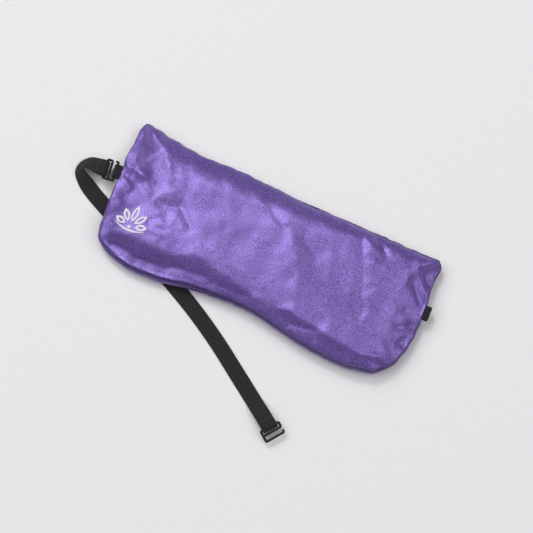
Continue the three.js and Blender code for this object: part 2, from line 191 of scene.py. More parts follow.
def smooth_curve(points, closed=False, steps=24):
    """Points along a centripetal Catmull-Rom curve, the given number for each span."""
    points = np.asarray(points, float)
    if closed:
        padded = np.vstack([points[-1], points, points[:2]])
    else:
        padded = np.vstack([2 * points[0] - points[1], points, 2 * points[-1] - points[-2]])
    t = np.linspace(0, 1, steps, endpoint=False)[:, None]
    spans = []
    for a, b, c, d in zip(padded, padded[1:], padded[2:], padded[3:]):
        ab, bc, cd = (math.sqrt(np.linalg.norm(q - p)) for p, q in ((a, b), (b, c), (c, d)))
        leave = ((b - a) / ab - (c - a) / (ab + bc) + (c - b) / bc) * bc
        arrive = ((c - b) / bc - (d - b) / (bc + cd) + (d - c) / cd) * bc
        spans.append(
            (2 * t**3 - 3 * t**2 + 1) * b + (t**3 - 2 * t**2 + t) * leave
            + (3 * t**2 - 2 * t**3) * c + (t**3 - t**2) * arrive
        )
    if not closed:
        spans.append(points[-1:])
    return np.vstack(spans)


def along(points):
    """The distance run along a line of points at each of them."""
    return np.concatenate([[0], np.cumsum(np.linalg.norm(np.diff(points, axis=0), axis=1))])


def resample(points, distances, wanted):
    return np.stack([np.interp(wanted, distances, column) for column in np.asarray(points).T], axis=1)


def unit(vectors):
    return vectors / np.maximum(np.linalg.norm(vectors, axis=-1, keepdims=True), 1e-12)


def add_mesh(name, points, faces, finish, coordinates=None):
    """A smooth-shaded mesh object. Coordinates say where each point lies on the flat cloth."""
    mesh = bpy.data.meshes.new(name)
    mesh.from_pydata(np.asarray(points).tolist(), [], faces)
    mesh.validate()
    mesh.shade_smooth()
    if coordinates is not None:
        layer = mesh.attributes.new("cloth", "FLOAT_VECTOR", "POINT")
        layer.data.foreach_set("vector", np.asarray(coordinates, np.float32).ravel())
    mesh.materials.append(finish)
    piece = bpy.data.objects.new(name, mesh)
    bpy.context.scene.collection.objects.link(piece)
    return piece


def bake_modifiers(piece):
    shown = piece.evaluated_get(bpy.context.evaluated_depsgraph_get())
    mesh = bpy.data.meshes.new_from_object(shown)
    piece.modifiers.clear()
    piece.data = mesh


def subdivide(piece, levels=1):
    modifier = piece.modifiers.new("subdivide", "SUBSURF")
    modifier.levels = modifier.render_levels = levels
    bake_modifiers(piece)


def thicken(piece, thickness):
    modifier = piece.modifiers.new("thicken", "SOLIDIFY")
    modifier.thickness = thickness
    modifier.offset = -1
    bake_modifiers(piece)


def finish_piece(piece, body, slot, *nodes):
    """Attaches a piece to the body it rides on, where one is given, and hides its CAD nodes; the slot
    is not used.
    """
    if body:
        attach(piece, body)
    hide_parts(*nodes)
    return piece


def grid_faces(columns, rows, flip=False):
    faces = []
    for i in range(columns - 1):
        for j in range(rows - 1):
            a = i * rows + j
            face = (a, a + rows, a + rows + 1, a + 1)
            faces.append(face[::-1] if flip else face)
    return faces


def loft_faces(rings, size, closed=False):
    """The faces of a skin over equal rings of points, with its two ends closed unless it runs round."""
    faces = []
    for i in range(rings if closed else rings - 1):
        here, there = i * size, (i + 1) % rings * size
        for j in range(size):
            k = (j + 1) % size
            faces.append((here + j, here + k, there + k, there + j))
    if not closed:
        faces.append(tuple(range(size))[::-1])
        faces.append(tuple(range((rings - 1) * size, rings * size)))
    return faces


# ---- Materials ----


class Finish:
    """A procedural material: one method for each kind of node that the finishes share."""

    def __init__(self, name, roughness, **shader_values):
        self.material = bpy.data.materials.new(name)
        self.material.use_nodes = True
        self.tree = self.material.node_tree
        self.shader = self.tree.nodes["Principled BSDF"]
        self.shader.inputs["Roughness"].default_value = roughness
        for socket, value in shader_values.items():
            self.shader.inputs[socket.replace("_", " ")].default_value = value

    def node(self, kind, inputs=None, **settings):
        made = self.tree.nodes.new("ShaderNode" + kind)
        for name, value in settings.items():
            setattr(made, name, value)
        for name, value in (inputs or {}).items():
            if isinstance(value, bpy.types.NodeSocket):
                self.tree.links.new(value, made.inputs[name])
            else:
                made.inputs[name].default_value = value
        return made

    def place(self):
        """Where a point lies on the object, in metres."""
        return self.node("TexCoord").outputs["Object"]

    def cloth_place(self):
        """Where a point lies on the flat cloth, in metres."""
        return self.node("Attribute", attribute_name="cloth").outputs["Vector"]

    def speckle(self, place, size, detail=2.0):
        """Soft noise from 0 to 1 with features of about the given size."""
        inputs = {"Vector": place, "Scale": 1 / size, "Detail": detail}
        return self.node("TexNoise", inputs).outputs["Fac"]

    def stretched(self, place, scale):
        return self.node("Mapping", {"Vector": place, "Scale": scale}).outputs["Vector"]

    def ramp(self, value, *stops):
        made = self.node("ValToRGB", {"Fac": value})
        elements = made.color_ramp.elements
        while len(elements) < len(stops):
            elements.new(0.5)
        for element, (position, colour) in zip(elements, stops):
            element.position = position
            element.color = (*colour, 1)
        return made.outputs["Color"]

    def mixed(self, share, first, second, mode="MIX"):
        first, second = (c if isinstance(c, bpy.types.NodeSocket) else (*c, 1) for c in (first, second))
        inputs = {0: share, 6: first, 7: second}
        return self.node("Mix", inputs, data_type="RGBA", blend_type=mode).outputs[2]

    def maths(self, operation, first, second):
        return self.node("Math", {0: first, 1: second}, operation=operation).outputs[0]

    def between(self, value, low, high):
        """The value, from 0 to 1, spread over another range."""
        return self.node("MapRange", {"Value": value, "To Min": low, "To Max": high}).outputs["Result"]

    def colour(self, socket):
        self.tree.links.new(socket, self.shader.inputs["Base Color"])

    def roughness(self, socket):
        self.tree.links.new(socket, self.shader.inputs["Roughness"])

    def relief(self, *layers):
        """Bumps: each layer is a height from 0 to 1, and its depth in metres."""
        normal = None
        for height, depth in layers:
            inputs = {"Height": height, "Distance": depth}
            if normal is not None:
                inputs["Normal"] = normal
            normal = self.node("Bump", inputs).outputs["Normal"]
        self.tree.links.new(normal, self.shader.inputs["Normal"])


def satin_finish():
    """Glossy warp-faced satin: a dark purple ground under bright, fine-grained floats, with painted
    shade in the seam's groove.
    """
    cloth = Finish(
        "purple_satin", 0.34, Metallic=0.45, Specular_IOR_Level=1.0,
        Specular_Tint=(0.80, 0.80, 0.84, 1), Anisotropic=0.3,
    )
    place = cloth.place()
    grain = cloth.speckle(cloth.stretched(place, (1.0, 0.7, 1.0)), 0.0006, detail=1)
    threads = cloth.speckle(cloth.stretched(place, (1.0, 0.12, 1.0)), 0.00035, detail=1)
    tone = cloth.speckle(place, 0.03, detail=2)
    base = cloth.ramp(tone, (0.3, (0.158, 0.094, 0.372)), (0.7, (0.178, 0.110, 0.412)))
    floats = cloth.ramp(grain, (0.32, (0.44, 0.44, 0.50)), (0.68, (1.56, 1.56, 1.50)))
    grained = cloth.mixed(1.0, base, floats, "MULTIPLY")
    # Painted shade: in the seam's groove the colour is mixed towards a near-black purple.
    painted_groove_shade = cloth.node("Attribute", attribute_name="painted_groove_shade").outputs["Fac"]
    cloth.colour(cloth.mixed(painted_groove_shade, grained, (0.022, 0.010, 0.075)))
    cloth.roughness(cloth.between(grain, 0.30, 0.44))
    cloth.relief((threads, 0.00002), (grain, 0.00012))
    return cloth.material


def plain_weave_finish(name, light, dark, pitch, roughness):
    """A flat cotton or non-woven cloth: crossed threads with uneven thickness."""
    cloth = Finish(name, roughness, Sheen_Weight=0.2, Sheen_Roughness=0.5)
    place = cloth.place()
    warp = cloth.speckle(cloth.stretched(place, (1.0, 0.15, 0.5)), pitch, detail=1)
    weft = cloth.speckle(cloth.stretched(place, (0.15, 1.0, 0.5)), pitch, detail=1)
    weave = cloth.maths("MULTIPLY", warp, weft)
    cloth.colour(cloth.ramp(weave, (0.12, dark), (0.4, light)))
    cloth.relief((weave, 0.00012))
    return cloth.material


def thread_finish(name, light, dark, roughness, sheen):
    """Twisted sewing or embroidery thread: fine fibres and a slight change of tone."""
    thread = Finish(name, roughness, Sheen_Weight=sheen, Sheen_Roughness=0.4, Anisotropic=0.3)
    place = thread.place()
    fibre = thread.speckle(place, 0.0002, detail=2)
    tone = thread.speckle(place, 0.004, detail=1)
    twisted = thread.ramp(fibre, (0.3, dark), (0.65, light))
    thread.colour(thread.mixed(thread.between(tone, 0.0, 0.5), twisted, light))
    thread.relief((fibre, 0.00003))
    return thread.material


def flaxseed_finish():
    """Small, glossy brown seeds, packed side by side."""
    seeds = Finish("flaxseed", 0.35, Coat_Weight=0.2)
    cells = seeds.node("TexVoronoi", {"Vector": seeds.place(), "Scale": 1 / 0.0028})
    shell = seeds.mixed(0.4, (0.30, 0.14, 0.06), cells.outputs["Color"], "MULTIPLY")
    seeds.colour(seeds.mixed(0.75, (0.20, 0.085, 0.03), shell))
    dome = seeds.maths("SUBTRACT", 1.0, cells.outputs["Distance"])
    seeds.relief((dome, 0.0008))
    return seeds.material


def elastic_finish(name, tone, pitch):
    """Black woven elastic: crosswise picks between lengthwise ribs, lighter on the raised picks and
    darker between them.
    """
    band = Finish(name, 0.85, Specular_IOR_Level=0.3, Sheen_Weight=0.08, Sheen_Roughness=0.5)
    place = band.cloth_place()
    picks = band.speckle(band.stretched(place, (1.0, 0.35, 1.0)), pitch, detail=1)
    fuzz = band.speckle(place, 0.0006, detail=3)
    wear = band.speckle(place, 0.02, detail=2)
    dark = tuple(0.55 * c for c in tone)
    light = tuple(1.5 * c for c in tone)
    woven = band.ramp(picks, (0.35, dark), (0.65, light))
    band.colour(band.mixed(band.between(wear, 0.1, 0.5), woven, tone))
    band.roughness(band.between(fuzz, 0.7, 0.95))
    band.relief((picks, 0.00012), (fuzz, 0.00005))
    return band.material


def hook_finish():
    """Black nylon coating on a steel hook: satin gloss, faint orange peel, rubbed edges."""
    coat = Finish("hook_coating", 0.45, Specular_IOR_Level=0.22)
    place = coat.place()
    peel = coat.speckle(place, 0.0007, detail=2)
    rub = coat.speckle(place, 0.003, detail=3)
    coat.colour(coat.ramp(rub, (0.35, (0.006, 0.006, 0.007)), (0.75, (0.016, 0.016, 0.018))))
    coat.roughness(coat.between(rub, 0.36, 0.52))
    coat.relief((peel, 0.00003))
    return coat.material


satin = satin_finish()
muslin = plain_weave_finish("muslin", (0.78, 0.72, 0.61), (0.56, 0.50, 0.40), 0.0005, 0.9)
stabiliser = plain_weave_finish("stabiliser", (0.86, 0.86, 0.83), (0.72, 0.72, 0.70), 0.0009, 0.95)
seam_thread = thread_finish("seam_thread", (0.13, 0.075, 0.32), (0.05, 0.03, 0.16), 0.5, 0.3)
pouch_thread = thread_finish("pouch_thread", (0.82, 0.81, 0.77), (0.62, 0.61, 0.58), 0.6, 0.2)
embroidery_thread = thread_finish(
    "embroidery_thread", (0.86, 0.85, 0.90), (0.62, 0.60, 0.72), 0.35, 0.4)
strap_thread = thread_finish("strap_thread", (0.03, 0.03, 0.032), (0.01, 0.01, 0.012), 0.6, 0.3)
flaxseed = flaxseed_finish()
elastic = elastic_finish("elastic", (0.0145, 0.0145, 0.015), 0.0006)
loop_tape = elastic_finish("loop_tape", (0.012, 0.012, 0.015), 0.0006)
hook_coating = hook_finish()

# ---- Camera, light and floor ----


def add_camera():
    data = bpy.data.cameras.new("camera")
    data.lens = CAMERA_LENS
    data.sensor_width = 36
    data.clip_start = 0.01
    camera = bpy.data.objects.new("camera", data)
    bpy.context.scene.collection.objects.link(camera)
    azimuth, elevation = math.radians(CAMERA_AZIMUTH), math.radians(CAMERA_ELEVATION)
    back = Vector((
        math.sin(azimuth) * math.cos(elevation),
        -math.cos(azimuth) * math.cos(elevation),
        math.sin(elevation),
    ))
    camera.location = Vector(CAMERA_AIM) + CAMERA_DISTANCE * back
    camera.rotation_mode = "QUATERNION"
    camera.rotation_quaternion = (-back).to_track_quat("-Z", "Y")
    bpy.context.scene.camera = camera


def add_softbox(name, place, width, depth, power):
    data = bpy.data.lights.new(name, "AREA")
    data.shape = "RECTANGLE"
    data.size = width
    data.size_y = depth
    data.energy = power
    light = bpy.data.objects.new(name, data)
    light.location = place
    light.rotation_mode = "QUATERNION"
    light.rotation_quaternion = (-Vector(place)).to_track_quat("-Z", "Y")
    bpy.context.scene.collection.objects.link(light)


def add_studio():
    """Two wide softboxes, a small one for crisp folds and a soft shadow, and a pale paper floor."""
    add_softbox("key_light", (-2.0, 0.35, 3.0), 4.2, 2.9, 89.0)
    add_softbox("edge_light", (-1.15, 1.0, 2.4), 0.5, 0.5, 13.0)
    add_softbox("fill_light", (2.0, 0.25, 3.0), 3.6, 2.9, 54.0)
    world = bpy.data.worlds.new("studio")
    world.use_nodes = True
    background = world.node_tree.nodes["Background"]
    background.inputs["Color"].default_value = (0.96, 0.97, 1.0, 1)
    background.inputs["Strength"].default_value = 0.19
    bpy.context.scene.world = world
    bpy.context.scene.view_settings.view_transform = "Standard"
    paper = Finish("floor_paper", 0.9)
    fleck = paper.speckle(paper.place(), 0.004, detail=2)
    paper.colour(paper.ramp(fleck, (0.2, (0.775, 0.765, 0.77)), (0.8, (0.80, 0.79, 0.795))))
    corners = [(4.0 * x, 4.0 * y, -0.0001) for x, y in ((-1, -1), (1, -1), (1, 1), (-1, 1))]
    add_mesh("floor", corners, [(0, 1, 2, 3)], paper.material)


# ---- Ribbons: the strap and the loops ----


def ribbon_section(width, thickness, ribs, steps):
    """A flat band's section, as (across, out) pairs: rounded edges and lengthwise ribs."""
    across = np.linspace(-1, 1, steps)
    edge = np.sqrt(np.clip(1 - np.abs(across) ** 14, 0, 1))
    rib = 0.10 * (np.abs(np.sin(across * ribs * math.pi / 2)) - 0.5)
    out = thickness / 2 * (edge * (0.9 + rib))
    top = np.stack([across * width / 2, out], axis=1)
    bottom = np.stack([across * width / 2, -out], axis=1)[::-1]
    return np.vstack([top[:-1], bottom[:-1]])


def add_ribbon(name, middles, acrosses, width, thickness, ribs, finish, steps=53):
    """A band of elastic along a line of middles, with the way across it given at each of them."""
    ahead = unit(np.gradient(middles, axis=0))
    acrosses = unit(acrosses - ahead * np.sum(acrosses * ahead, axis=1, keepdims=True))
    outs = np.cross(acrosses, ahead)
    section = ribbon_section(width, thickness, ribs, steps)
    side, out = section[None, :, :1], section[None, :, 1:]
    rings = middles[:, None] + side * acrosses[:, None] + out * outs[:, None]
    cloth = np.zeros((len(middles), len(section), 3))
    cloth[:, :, 0] = along(middles)[:, None]
    cloth[:, :, 1:] = section
    faces = loft_faces(len(middles), len(section))
    return add_mesh(name, rings.reshape(-1, 3), faces, finish, cloth.reshape(-1, 3))


def station(x, y, z, bearing, slope=0):
    across = heading(bearing) * math.cos(math.radians(slope))
    across[2] = math.sin(math.radians(slope))
    return np.array([x, y, z]), across


def fold_stations(hook, side):
    """Half a turn round a hook's bar, from the upper layer down to the tail."""
    bar = np.array([hook["x"], hook["y"], hook["z"]])
    back = heading(hook["bearing"] + 180)
    across = side * heading(hook["bearing"] - 90)
    stations = []
    for angle in range(90, -91, -30):
        turn = math.radians(angle)
        middle = bar + np.array([0, 0, FOLD_RADIUS * math.sin(turn)])
        stations.append((middle - back * FOLD_RADIUS * math.cos(turn), across))
    return stations


def strap_line():
    """The strap's middles and the ways across it, every 1.2 mm."""
    stations = [station(*s) for s in LEFT_TAIL]
    stations += fold_stations(LEFT_HOOK, -1)[::-1]
    stations += [station(*s) for s in STRAP_ROUTE + FREE_END_ROUTE]
    stations += fold_stations(FREE_HOOK, 1)
    stations += [station(*s) for s in FREE_TAIL]
    middles = smooth_curve([middle for middle, _ in stations])
    edges = smooth_curve([middle + across * STRAP_WIDTH / 2 for middle, across in stations])
    distance = along(middles)
    wanted = np.linspace(0, distance[-1], round(distance[-1] / 0.0012) + 1)
    middles, edges = resample(middles, distance, wanted), resample(edges, distance, wanted)
    return middles, unit(edges - middles)


def add_strap():
    middles, acrosses = strap_line()
    strap = add_ribbon("strap_band", middles, acrosses, STRAP_WIDTH, STRAP_THICKNESS, 13, elastic)
    finish_piece(strap, None, "elastic", "strap", "strap_free_end")
    return strap, middles


def loop_line(x, y, z, bearing, reach):
    """Out of the seam, round the eye and back in, seen along the seam."""
    leg = LOOP_TAPE / 2 + 0.00005
    eye = LOOP_BORE + LOOP_TAPE / 2
    side = [(-LOOP_TAIL, leg), (-LOOP_TAIL / 2, leg), (0, leg)]
    turns = [math.radians(angle) for angle in range(90, -91, -20)]
    turn = [(reach + eye * math.cos(a), eye * math.sin(a)) for a in turns]
    path = side + turn + [(out, -up) for out, up in side[::-1]]
    points = [np.array([x, y, z + up]) + heading(bearing) * out for out, up in path]
    middles = smooth_curve(points, steps=8)
    return middles, np.tile(heading(bearing + 90), (len(middles), 1))


def add_loops():
    for name, place in LOOPS.items():
        middles, acrosses = loop_line(**place)
        loop = add_ribbon(name + "_tape", middles, acrosses, LOOP_WIDTH, LOOP_TAPE, 11, loop_tape, 45)
        finish_piece(loop, "pillow", "loop_tape", name)


# ---- Threads and hooks ----


def tube(points, radius, sides=6, ends=(0.35,), closed=False):
    """Points and faces of a round rod along a line; its end rings are drawn in by the given shares."""
    points = np.asarray(points, float)
    if closed:
        ahead = unit(np.roll(points, -1, axis=0) - np.roll(points, 1, axis=0))
    else:
        ahead = unit(np.gradient(points, axis=0))
    side = unit(np.cross(ahead, [0.0, 0.0, 1.0]) + 1e-9)
    lift = np.cross(side, ahead)
    share = np.ones(len(points))
    if not closed:
        share[:len(ends)] = ends
        share[-len(ends):] = ends[::-1]
    angles = np.linspace(0, 2 * math.pi, sides, endpoint=False)
    rings = [
        points + radius * share[:, None] * (math.cos(a) * side + math.sin(a) * lift) for a in angles
    ]
    return np.stack(rings, axis=1).reshape(-1, 3), loft_faces(len(points), sides, closed)


def add_threads(name, strands, finish):
    """One mesh of many separate strands."""
    points, faces, count = [], [], 0
    for strand_points, strand_faces in strands:
        points.append(strand_points)
        faces += [tuple(i + count for i in face) for face in strand_faces]
        count += len(strand_points)
    return add_mesh(name, np.vstack(points), faces, finish)


def arc(x, y, radius, start, end, steps=9):
    angles = np.radians(np.linspace(start, end, steps))
    return [(x + radius * math.cos(a), y + radius * math.sin(a)) for a in angles]


def add_hook(name, x, y, z, bearing):
    """A flat hook of round bars: an eye for the strap, and an open arm whose tip turns back."""
    side = (HOOK_WIDTH - HOOK_BAR) / 2
    bend = HOOK_BAR / 2
    second = HOOK_BAR + HOOK_STRAP_SLOT
    third = second + HOOK_BAR + HOOK_OPEN_SLOT
    tip = second + HOOK_BAR / 2 + HOOK_TIP_GAP
    eye = (
        arc(-side + bend, bend, bend, 180, 270) + arc(side - bend, bend, bend, 270, 360)
        + arc(side - bend, second - bend, bend, 0, 90) + arc(-side + bend, second - bend, bend, 90, 180)
    )
    drawn = [(-side, second - bend * k) for k in (0.7, 0.6, 0.4)]
    turned_back = [(side, tip + HOOK_BAR / 2 * k) for k in (0.9, 0.45, 0.12, 0.0)]
    arm = (
        drawn + [(-side, second + bend)] + arc(-side + bend, third - bend, bend, 180, 90)
        + arc(side - bend, third - bend, bend, 90, 0) + turned_back
    )

    def placed(line):
        out, across = heading(bearing), heading(bearing + 90)
        return [np.array([x, y, z]) + across * u + out * v for u, v in line]

    rods = [
        tube(placed(eye), HOOK_BAR / 2, sides=16, closed=True),
        tube(placed(arm), HOOK_BAR / 2, sides=16, ends=(0.45, 0.75, 0.95)),
    ]
    hook = add_threads(name + "_coated", rods, hook_coating)
    return finish_piece(hook, name, "hook_coating", name)


# ---- The pillow's cover ----


class Rim:
    """A closed edge of cloth in plan, with its seam height, outward direction and place along it."""

    def __init__(self, table, samples):
        distance = along(np.vstack([table, table[:1]])[:, :2])
        self.length = distance[-1]
        wanted = np.linspace(0, self.length, samples, endpoint=False)
        values = resample(np.vstack([table, table[:1]]), distance, wanted)
        self.points, self.height, self.bulge, self.reach = values[:, :2], *values[:, 2:].T
        ahead = unit(np.roll(self.points, -1, axis=0) - np.roll(self.points, 1, axis=0))
        self.outward = np.stack([-ahead[:, 1], ahead[:, 0]], axis=1)
        self.place = wanted

    def read(self, points):
        """For points inside: a soft distance from the edge, and the edge's values blended inwards."""
        found = {key: [] for key in ("depth", "height", "bulge", "reach", "outward", "place")}
        step = self.length / len(self.points)
        for part in np.array_split(points, max(1, len(points) // 600)):
            gap = np.sum((part[:, None] - self.points[None]) ** 2, axis=2)
            weight = 1 / np.maximum(gap, 1e-10) ** 2
            total = weight.sum(axis=1)
            found["depth"].append((2 / math.pi * total * step) ** (-1 / 3))
            for key in ("height", "bulge", "reach"):
                found[key].append(weight @ getattr(self, key) / total)
            found["outward"].append(weight @ self.outward / total[:, None])
            found["place"].append(self.place[np.argmin(gap, axis=1)])
        return {key: np.concatenate(parts) for key, parts in found.items()}


def outline_side(start, end):
    """The outline between two places, counted in outline points."""
    fine = smooth_curve(OUTLINE, closed=True, steps=48)
    looped = np.vstack([fine, fine[:1]])
    return resample(looped, np.arange(len(looped)), np.linspace(start, end, 240) * 48)


def drawn_in(table, inset):
    """An outline moved inwards: by each point's own bulge, by the inset, and by the seam's waver."""
    ahead = unit(np.roll(table[:, :2], -1, axis=0) - np.roll(table[:, :2], 1, axis=0))
    outward = np.stack([-ahead[:, 1], ahead[:, 0]], axis=1)
    moved = table.copy()
    waver = SEAM_WAVER * (1 + wander(table[:, :2], 0.0060, 6.4))[:, None]
    moved[:, :2] -= outward * (table[:, 3:4] + inset + waver)
    return moved


def crowded(count, share=0.82):
    """Steps from 0 to 1 that are closer together at both ends."""
    t = np.linspace(0, 1, count)
    return (1 - share) * t + share * (0.5 - 0.5 * np.cos(math.pi * t))


def patch(sides, columns, rows):
    """A grid between four sides: top, right, bottom and left, each as a line of points."""
    u, v = crowded(columns), crowded(rows)

    def spaced(line, steps):
        distance = along(line)
        return resample(line, distance, steps * distance[-1])

    top, bottom = spaced(sides[0], u), spaced(sides[2][::-1], u)
    left, right = spaced(sides[3], v), spaced(sides[1][::-1], v)
    u, v = u[:, None, None], v[None, :, None]
    ruled = (1 - v) * bottom[:, None] + v * top[:, None] + (1 - u) * left[None] + u * right[None]
    corners = (
        (1 - u) * (1 - v) * bottom[0] + u * (1 - v) * bottom[-1]
        + (1 - u) * v * top[0] + u * v * top[-1]
    )
    return ruled - corners


def rim_sides(inset):
    """The outline's four sides, drawn in and cut where they cross at the corners, and the whole."""
    marks = list(CORNERS) + [CORNERS[0] + len(OUTLINE)]
    lines = [outline_side(a, b) for a, b in zip(marks, marks[1:])]
    outer = np.vstack([line[:-1] for line in lines])
    moved = drawn_in(outer, inset)
    gaps = [np.min(np.sum((outer[:, :2] - point) ** 2, axis=1)) for point in moved[:, :2]]
    clear = np.sqrt(gaps) >= 0.95 * inset
    sides, first = [], 0
    for line in lines:
        last = first + len(line) - 1
        sides.append(moved[first:last][clear[first:last]])
        first = last
    corners = [(before[-1] + after[0]) / 2 for before, after in zip(sides, sides[1:] + sides[:1])]
    whole = np.vstack([part for side, corner in zip(sides, corners) for part in (side, corner[None])])
    starts = corners[-1:] + corners[:-1]
    sides = [np.vstack([start, side, end])[:, :2] for start, side, end in zip(starts, sides, corners)]
    return sides, whole


def round_over(depth, reach):
    """From 0 at the edge to 1 at the given reach: steep at first where the reach is short."""
    q = np.clip(depth / reach, 0, 1)
    steepness = np.interp(reach, (0.020, 0.032), (0.55, 1.0))
    return (1 - (1 - q) ** (2.8 - steepness)) ** steepness


def bump(depth, peak, end):
    """From 0 at the edge, up to 1 at the peak, and back to 0 at the end."""
    rise = np.clip(depth / peak, 0, 1)
    fall = np.clip((end - depth) / (end - peak), 0, 1)
    return np.sqrt(1 - (1 - rise) ** 2) * fall * fall * (3 - 2 * fall)


def wander(points, size, seed):
    """Smooth noise from about -1 to 1 at each point of a plan."""
    return np.array([noise.noise((x / size, y / size, seed)) for x, y in points]) * 1.6


def strap_ridge(points, half_width, shoulder):
    """1 over the strap's straight run under the pillow, falling to 0 past its shoulders."""
    start, end = np.array(UNDER_PILLOW)
    way = unit(end - start)
    offset = np.abs((points - start) @ np.array([-way[1], way[0]]))
    t = np.clip((offset - half_width) / shoulder, 0, 1)
    return 1 - t * t * (3 - 2 * t)


# Folds in the front panel: half width, height (+) or depth (-), and the points of the fold's line.
FOLDS = [
    (0.0050, 0.0010, [
        (-0.102, -0.0320), (-0.084, -0.0300), (-0.057, -0.0305), (-0.040, -0.0235), (-0.016, -0.0275),
        (0.008, -0.0330)]),
    (0.0036, 0.0011, [(0.032, -0.0305), (0.060, -0.0330), (0.092, -0.0355), (0.106, -0.0325)]),
    (0.0070, 0.0009, [(0.007, 0.0250), (0.027, 0.0020), (0.038, -0.0280)]),
    (0.0050, -0.0021, [(-0.103, -0.0390), (-0.080, -0.0415), (-0.057, -0.0395)]),
    (0.0045, -0.0018, [(-0.055, -0.0370), (-0.031, -0.0335)]),
    (0.0030, -0.0010, [(-0.023, -0.0345), (0.004, -0.0340)]),
    (0.0030, -0.0010, [(0.039, -0.0377), (0.057, -0.0355)]),
    (0.0022, -0.0015, [(-0.1176, 0.0080), (-0.1065, 0.0023)]),
    (0.0022, -0.0012, [(-0.1177, -0.0043), (-0.1088, -0.0110)]),
    (0.0025, -0.0010, [(-0.1189, 0.0179), (-0.0936, 0.0122)]),
    (0.0030, 0.0009, [(-0.1141, 0.0086), (-0.0872, -0.0003)]),
    (0.0025, -0.0010, [(-0.1143, 0.0235), (-0.1046, 0.0132)]),
    (0.0040, -0.0012, [(-0.1027, 0.0158), (-0.0931, 0.0045)]),
    (0.0040, 0.0009, [(-0.0981, 0.0410), (-0.0827, 0.0176)]),
    (0.0016, -0.0006, [(-0.0828, -0.0157), (-0.0726, -0.0080)]),
    (0.0016, -0.0006, [(-0.0803, -0.0184), (-0.0687, -0.0170)]),
    (0.0016, -0.0005, [(-0.0794, -0.0234), (-0.0684, -0.0250)]),
    (0.0045, -0.0013, [(-0.0799, -0.0004), (-0.0680, 0.0025)]),
    (0.0018, -0.0010, [(-0.0674, 0.0050), (-0.0533, -0.0070)]),
    (0.0030, -0.0008, [(-0.0056, 0.0288), (0.0070, 0.0224)]),
    (0.0050, -0.0008, [(0.0196, 0.0226), (0.0345, 0.0136)]),
    (0.0030, -0.0007, [(0.0562, 0.0461), (0.0813, -0.0089)]),
    (0.0070, -0.0008, [(0.0492, -0.0114), (0.0910, -0.0174)]),
    (0.0030, 0.0009, [(0.0600, 0.0458), (0.0689, 0.0360)]),
    (0.0030, -0.0014, [(0.0679, 0.0469), (0.0782, 0.0373)]),
    (0.0024, -0.0016, [(0.1056, 0.0389), (0.1159, 0.0322)]),
    (0.0026, -0.0015, [(0.1041, 0.0285), (0.1198, 0.0137)]),
    (0.0020, 0.0010, [(0.1024, 0.0411), (0.1226, 0.0167)]),
    (0.0022, -0.0012, [(0.1202, 0.0118), (0.1084, 0.0071)]),
    (0.0022, -0.0011, [(0.1204, 0.0024), (0.1082, -0.0068)]),
    (0.0020, -0.0009, [(0.1211, 0.0064), (0.1171, -0.0125)]),
    (0.0025, -0.0012, [(0.1116, -0.0147), (0.1222, -0.0169)]),
    (0.0024, -0.0011, [(0.1063, -0.0357), (0.1181, -0.0335)]),
]


def folds(points):
    """The height that all the folds add at each point of the plan."""
    height = np.zeros(len(points))
    for half, rise, line in FOLDS:
        fine = smooth_curve(line, steps=16)
        gap = np.sum((points[:, None] - fine[None]) ** 2, axis=2).min(axis=1)
        height += rise * np.exp(-np.sqrt(gap + 0.1 * half**2) / half) * 1.9
    return height


def crumple(points, size, seed):
    """Sharp little creases between rounded folds, from -1 in a crease to 0."""
    return -np.abs(wander(points, size, seed)) ** 0.7


def tucked_tape(points):
    """1 over each loop's root, where the seam holds a doubled tape, falling to 0 around it."""
    roots = [np.array([loop["x"], loop["y"]]) for loop in LOOPS.values()]
    gaps = [np.sum((points - root) ** 2, axis=1) for root in roots]
    return sum(np.exp(-gap / TAPE_LIFT_REACH**2) for gap in gaps)


def between_points(grid):
    """A grid with a new point halfway between every two of its points."""
    for axis in (0, 1):
        grid = np.moveaxis(grid, axis, 0)
        finer = np.empty((2 * len(grid) - 1, *grid.shape[1:]))
        finer[::2] = grid
        middle = (grid[:-1] + grid[1:]) / 2
        middle[1:-1] += (middle[1:-1] - (grid[:-3] + grid[3:]) / 2) / 8
        finer[1::2] = middle
        grid = np.moveaxis(finer, 0, axis)
    return grid


